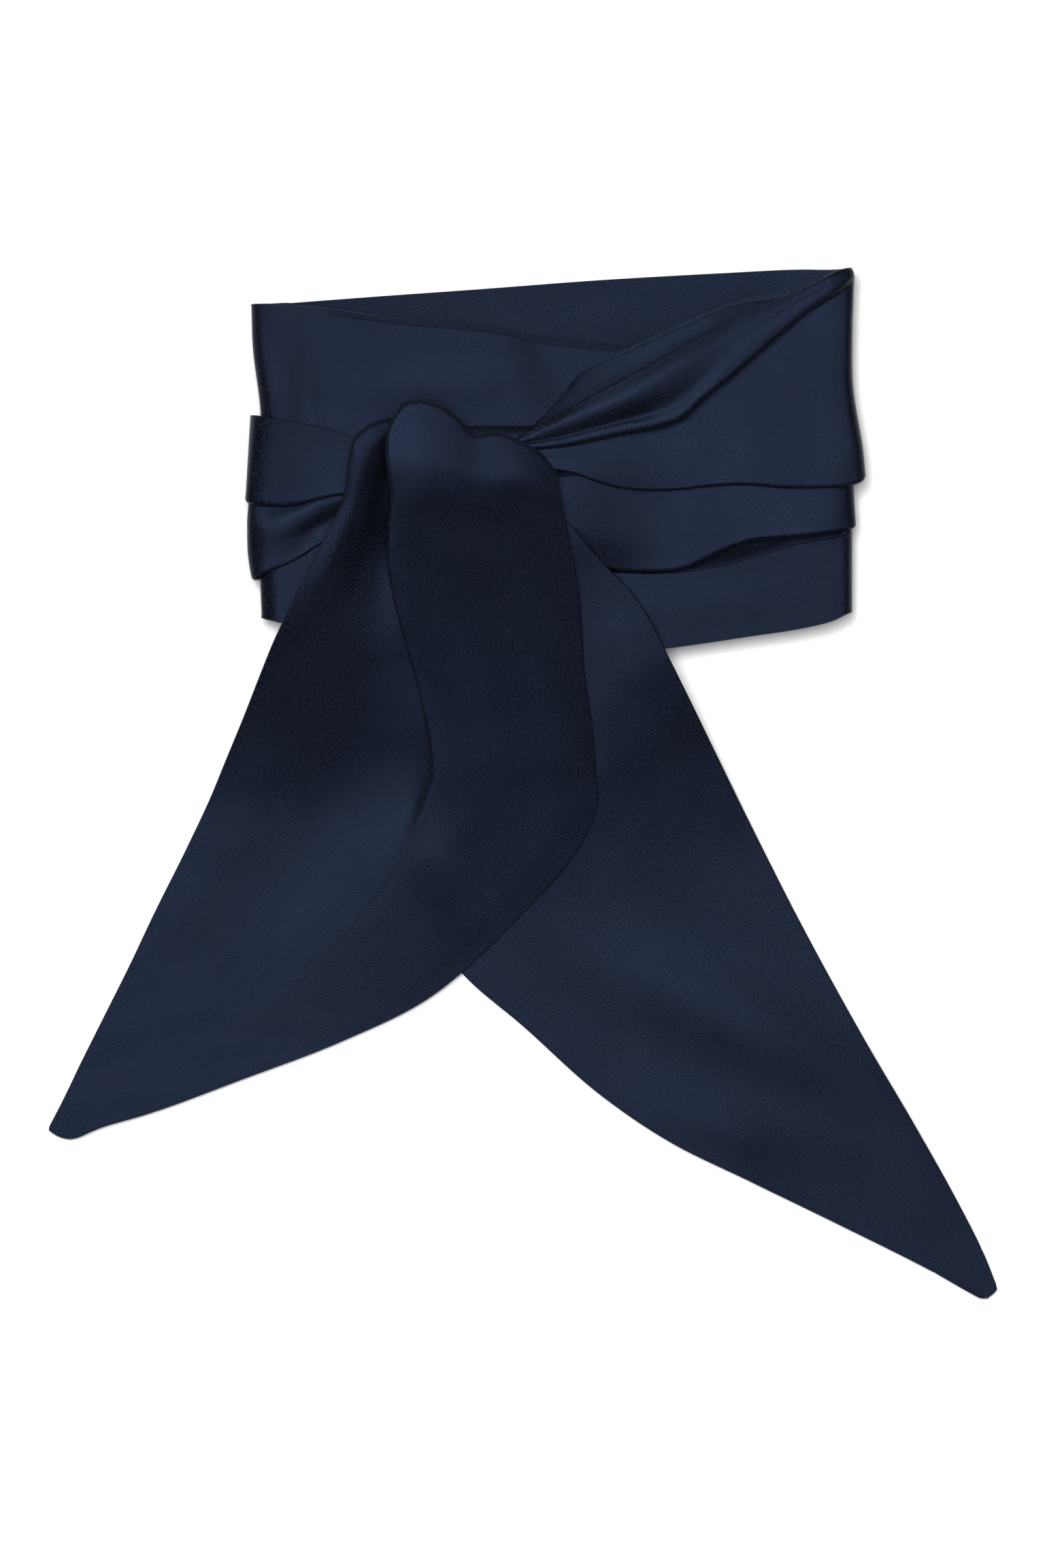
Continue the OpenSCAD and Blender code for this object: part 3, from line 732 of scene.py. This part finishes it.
def build_front_tail():
    """From behind the knot over its crown to the point: a small roll, a valley and a broad lobe."""
    left_fold = front_rail(.57,
                           [(-36.4, 123.4, 14.8), (-40.2, 126, 18.5), (-44.8, 118, 20.2), (-45.3, 108, 21.4),
                            (-43.6, 98, 20.7)],
                           [(-44.1, 89), (-44.9, 78), (-43.8, 67), (-41.6, 57), (-38.6, 46), (-35.2, 34),
                            (-32, 20.4), (-30, 7)], lobe=1.01, edge=-.32)
    brow = front_rail(.58,
                      [(-35.8, 124.6, 14.8), (-39.4, 126.8, 18.9), (-43.8, 118.6, 20.6),
                       (-44.3, 108.2, 21.9), (-42.6, 98, 21.1)],
                      [(-43.2, 88.9), (-44, 77.8), (-42.9, 66.8), (-40.6, 56.8), (-37.4, 45.8), (-34, 33.8),
                       (-30.7, 20.3), (-28.7, 7)], lobe=1.01, edge=-.16)
    rails = [
        front_rail(0,
                   [(-38, 117, 13.4), (-44, 121.8, 15.4), (-50.6, 119.6, 16.4), (-56, 114.4, 16.8),
                    (-58, 106, 16.6)],
                   [(-59.4, 95.5), (-64.8, 84), (-70.6, 72), (-76.6, 60), (-82.4, 48), (-87.3, 36),
                    (-92.8, 22), (-98.6, 8)], roll=.72),
        front_rail(.012,
                   [(-38, 118, 14.4), (-44, 122, 15.8), (-50.4, 119.4, 16.8), (-55.6, 114, 17.2),
                    (-57.6, 105.6, 17)],
                   [(-59.2, 95), (-64.4, 83.4), (-70, 71.4), (-76, 59.6), (-81.6, 47.6), (-86.4, 35.6),
                    (-91.8, 21.6), (-97.4, 7.6)], roll=.8),
        front_rail(.05,
                   [(-37.4, 117.6, 15), (-42.8, 119.6, 16.6), (-48, 115.6, 17.6), (-52.4, 109.8, 17.8),
                    (-54.8, 102, 17.6)],
                   [(-57, 92.4), (-61.8, 81), (-67, 69.4), (-72.4, 58), (-77.8, 46.6), (-82.2, 35),
                    (-87.4, 21.2), (-92.8, 7.6)], roll=1),
        front_rail(.11,
                   [(-36.6, 117, 14.8), (-41, 117, 15.6), (-45.2, 112.4, 16.2), (-48.6, 106, 16),
                    (-51, 98.8, 15.8)],
                   [(-53.4, 90), (-57.2, 79.2), (-61.4, 68.4), (-65.8, 57.2), (-70.6, 46), (-75.2, 34.6),
                    (-80.4, 21), (-86, 7.4)], roll=.72),
        front_rail(.2,
                   [(-35.4, 116, 14), (-39, 115, 14), (-42.6, 110, 13.4), (-45.2, 104, 13),
                    (-47, 97.4, 12.8)],
                   [(-48.8, 89.4), (-51.4, 78.4), (-54.2, 67.4), (-57.6, 56.6), (-61.2, 45.6), (-65.2, 34.2),
                    (-69.8, 20.8), (-74.6, 7.2)], roll=-.02),
        front_rail(.36,
                   [(-34, 115, 13.6), (-37, 113.6, 13.6), (-39, 108, 12.6), (-40, 101.6, 12),
                    (-40.4, 96, 11.8)],
                   [(-40.4, 89), (-41, 78), (-42.2, 67.6), (-44.2, 56.6), (-46.6, 45.6), (-49.4, 34),
                    (-52.4, 20.6), (-55.4, 7)], roll=-.34),
        front_rail(.53,
                   [(-34.4, 119, 14), (-36, 120.4, 15), (-38.6, 115.4, 15.6), (-39.8, 107.6, 15.8),
                    (-38.8, 99, 15.6)],
                   [(-39, 89), (-39.6, 77.6), (-39.4, 67), (-38.2, 56.4), (-37, 45.6), (-36.4, 34),
                    (-36.6, 20.6), (-36, 7)], lobe=.4),
        tucked_edge(left_fold),
        left_fold,
        brow,
        front_rail(.6,
                   [(-35.2, 125.2, 14.8), (-38, 127.4, 19.2), (-41.6, 119.4, 20.5), (-42.4, 108, 22),
                    (-40.9, 98, 21.2)],
                   [(-42, 88.8), (-42.6, 77.6), (-41.4, 66.6), (-39, 56.4), (-35.6, 45.4), (-32, 33.6),
                    (-28.6, 20.2), (-26.4, 7)], lobe=1.01),
        front_rail(.67,
                   [(-29.4, 122, 15), (-30.6, 127.3, 19.4), (-33, 119, 20.9), (-34.2, 107.4, 22.8),
                    (-33.4, 98, 22)],
                   [(-32.8, 88.4), (-32.4, 77), (-31, 66), (-28.4, 55), (-25, 44), (-21, 32.4),
                    (-17.4, 19.6), (-15.4, 6.6)], lobe=1.05),
        front_rail(.73,
                   [(-22.4, 118, 14.8), (-22.4, 122.6, 19.2), (-24, 115.4, 20.7), (-25, 105.4, 22.5),
                    (-24.6, 97, 21.9)],
                   [(-23.6, 88), (-22.4, 76.6), (-20.8, 65.4), (-18.6, 54), (-15.4, 43), (-11.8, 31.8),
                    (-8.4, 19), (-6.4, 6)], lobe=1.06),
        front_rail(.79,
                   [(-16, 112, 14.6), (-16, 116, 18.6), (-15.6, 110.4, 20.2), (-15.6, 102.6, 21.9),
                    (-15.4, 95.8, 21.4)],
                   [(-14.6, 87), (-13.4, 76), (-11.8, 64.6), (-9.6, 53.4), (-6.6, 42), (-3.4, 31),
                    (-.4, 18.4), (1.6, 5)], lobe=1.04),
        front_rail(.85,
                   [(-9, 111, 14.4), (-8.6, 117, 18.4), (-9, 110.6, 20), (-8.8, 102.4, 21.6),
                    (-8.2, 95.4, 21)],
                   [(-6.6, 86.4), (-5, 75.4), (-3.4, 64), (-1.4, 52.6), (1.2, 41.4), (4, 30.4), (6.8, 17.6),
                    (8.6, 4)], lobe=1.01),
        front_rail(.905,
                   [(-2, 108, 14.2), (-1, 114, 18.1), (-1.6, 109.6, 19.7), (-1.8, 103, 21.2),
                    (-1, 94.6, 20.2)],
                   [(.6, 85.4), (2.4, 74.6), (4, 63.4), (5.8, 52), (8, 40.6), (10.4, 29.6), (12.8, 17),
                    (14.4, 3)], lobe=.98),
        front_rail(.96,
                   [(4, 104, 14.2), (6.2, 109.6, 17.4), (5.6, 106, 18.9), (5.4, 99.6, 20.3),
                    (6.4, 92.4, 19.4)],
                   [(8.2, 84), (10, 73.6), (11.8, 62.6), (13.4, 51.2), (15, 39.8), (17, 28.8), (19, 16.4),
                    (20.4, 2.4)], lobe=.91),
        front_rail(1,
                   [(8, 99, 13.8), (11.2, 103.4, 16.4), (12, 99.4, 17.6), (12.8, 94.6, 18.6),
                    (13.6, 89.4, 18.2)],
                   [(14.8, 83), (16.8, 73), (18.4, 62), (19.2, 50.6), (19.8, 39.4), (21.6, 28.4), (23.4, 16),
                    (24.2, 3)], lobe=.8),
    ]
    hollows = [(-100, -20, 40, 14, 60, .5), (-27, -30, 18, 9, -60, .9)]
    grid = double("front_blade", rails, ["knot_overfold", "front_tail_face"], ["front_tail_lining"],
                  hollows=hollows, tail=FRONT_FOLD)
    edge_seam("front_blade_seam", grid, FRONT_FOLD, ["front_tail_edge_seam"])
    tip_stitches("front_blade_stitches", grid, FRONT_FOLD, ["front_tail_tip_tack"])


def build_rear_tail():
    """From under the knot, over the band's lower edge and down to the point."""
    left = [(-26, 88, 10.6), (-34, 70, 10.2), (-40, 52, 9.6), (-43, 38, 7), (-45, 24, 4.2), (-45, 5, 1.6),
            (-42, -20, .9), (-34, -42, .7), (-20, -62.7, .7), (1, -81, .7), (25, -102.5, .7), (49, -119, .7),
            (76, -132.4, .7), (106, -147, .7), (138, -163, .7), (151.5, -171, .7)]
    right = [(6, 92, 13.8), (15, 87, 14.8), (20, 81, 14.4), (28, 72, 13), (36.6, 63, 12.2), (43, 53, 11.8),
             (48, 43, 11), (55, 29, 8.6), (64, 10.5, 4.6), (76, -14, 1.6), (93, -47.5, .8), (113, -84, .7),
             (130, -113, .7), (143, -136, .7), (153, -155.5, .7), (158.3, -168.4, .7)]
    shares = [.12, .25, .38, .5, .62, .74, .86, .94]
    rails = [left, *between(left, right, *shares), right]
    for rail, share in zip(rails[1:], shares):
        rail[-1] += (0, -tip_round(share, REAR_TIP_DEPTH), 0)
    hollows = [(34, 46, 18, 13, -50, 1), (75, -80, 50, 14, -26, 2.6), (72, -116, 22, 9, -20, 1.4),
               (128, -118, 26, 10, -50, .8)]
    grid = double("rear_blade", rails, ["rear_tail_root", "rear_tail_face"], ["rear_tail_lining"],
                  hollows=hollows, tail=REAR_FOLD, passes=3)
    edge_seam("rear_blade_seam", grid, REAR_FOLD, ["rear_tail_edge_seam"])
    tip_stitches("rear_blade_stitches", grid, REAR_FOLD, ["rear_tail_tip_tack"])


# ---------------------------------------------------------------- floor, light and camera

CAMERA_LENS = 500
VIEW_HEIGHT = 0.5236  # metres of floor seen along the picture's longer side
FLOOR_HALF = 6.0
FLOOR_LEVEL = -0.0003  # just under the cloth, so that the two never touch
FLOOR_GREY = 0.9
FLOOR_ROUGHNESS = 0.8
WORLD_LIGHT = 0.35


def build_stage():
    """A plain pale floor, light from all round, a large soft key light and a smaller one beside it."""
    corners = [(-1, -1), (1, -1), (1, 1), (-1, 1)]
    floor = bpy.data.meshes.new("floor")
    floor.from_pydata([(x * FLOOR_HALF, y * FLOOR_HALF, FLOOR_LEVEL) for x, y in corners], [],
                      [(0, 1, 2, 3)])
    paint, _, _, shader = new_material("floor")
    set_values(shader, base_color=(FLOOR_GREY, FLOOR_GREY, FLOOR_GREY, 1), roughness=FLOOR_ROUGHNESS)
    floor.materials.append(paint)
    obj = bpy.data.objects.new("floor", floor)
    bpy.context.scene.collection.objects.link(obj)
    world = bpy.data.worlds.new("studio")
    world.use_nodes = True
    set_values(world.node_tree.nodes["Background"], color=(1, 1, 1, 1), strength=WORLD_LIGHT)
    bpy.context.scene.world = world
    area_light("key", place=(-1.5, 2.6, 11.6), size=8.8, power=1400)
    area_light("accent", place=(-2.6, 4.4, 10.8), size=3.2, power=320)


def area_light(name, place, size, power):
    """A square soft light that looks at the middle of the object."""
    data = bpy.data.lights.new(name, "AREA")
    data.size = size
    data.energy = power
    obj = bpy.data.objects.new(name, data)
    obj.location = place
    obj.rotation_mode = "QUATERNION"
    obj.rotation_quaternion = (-Vector(place)).to_track_quat("-Z", "Y")
    bpy.context.scene.collection.objects.link(obj)


def build_camera():
    """A camera straight above the middle, with a lens so long that it shows almost no perspective."""
    data = bpy.data.cameras.new("camera")
    data.lens = CAMERA_LENS
    obj = bpy.data.objects.new("camera", data)
    obj.location = (0, 0, VIEW_HEIGHT * CAMERA_LENS / data.sensor_width)
    bpy.context.scene.collection.objects.link(obj)
    bpy.context.scene.camera = obj


build_front_panel()
build_back_strands()
build_right_wrap()
build_right_pleat()
build_left_strap()
build_knot_band()
build_front_tail()
build_rear_tail()
build_stage()
build_camera()
bpy.context.scene.view_settings.view_transform = "Standard"
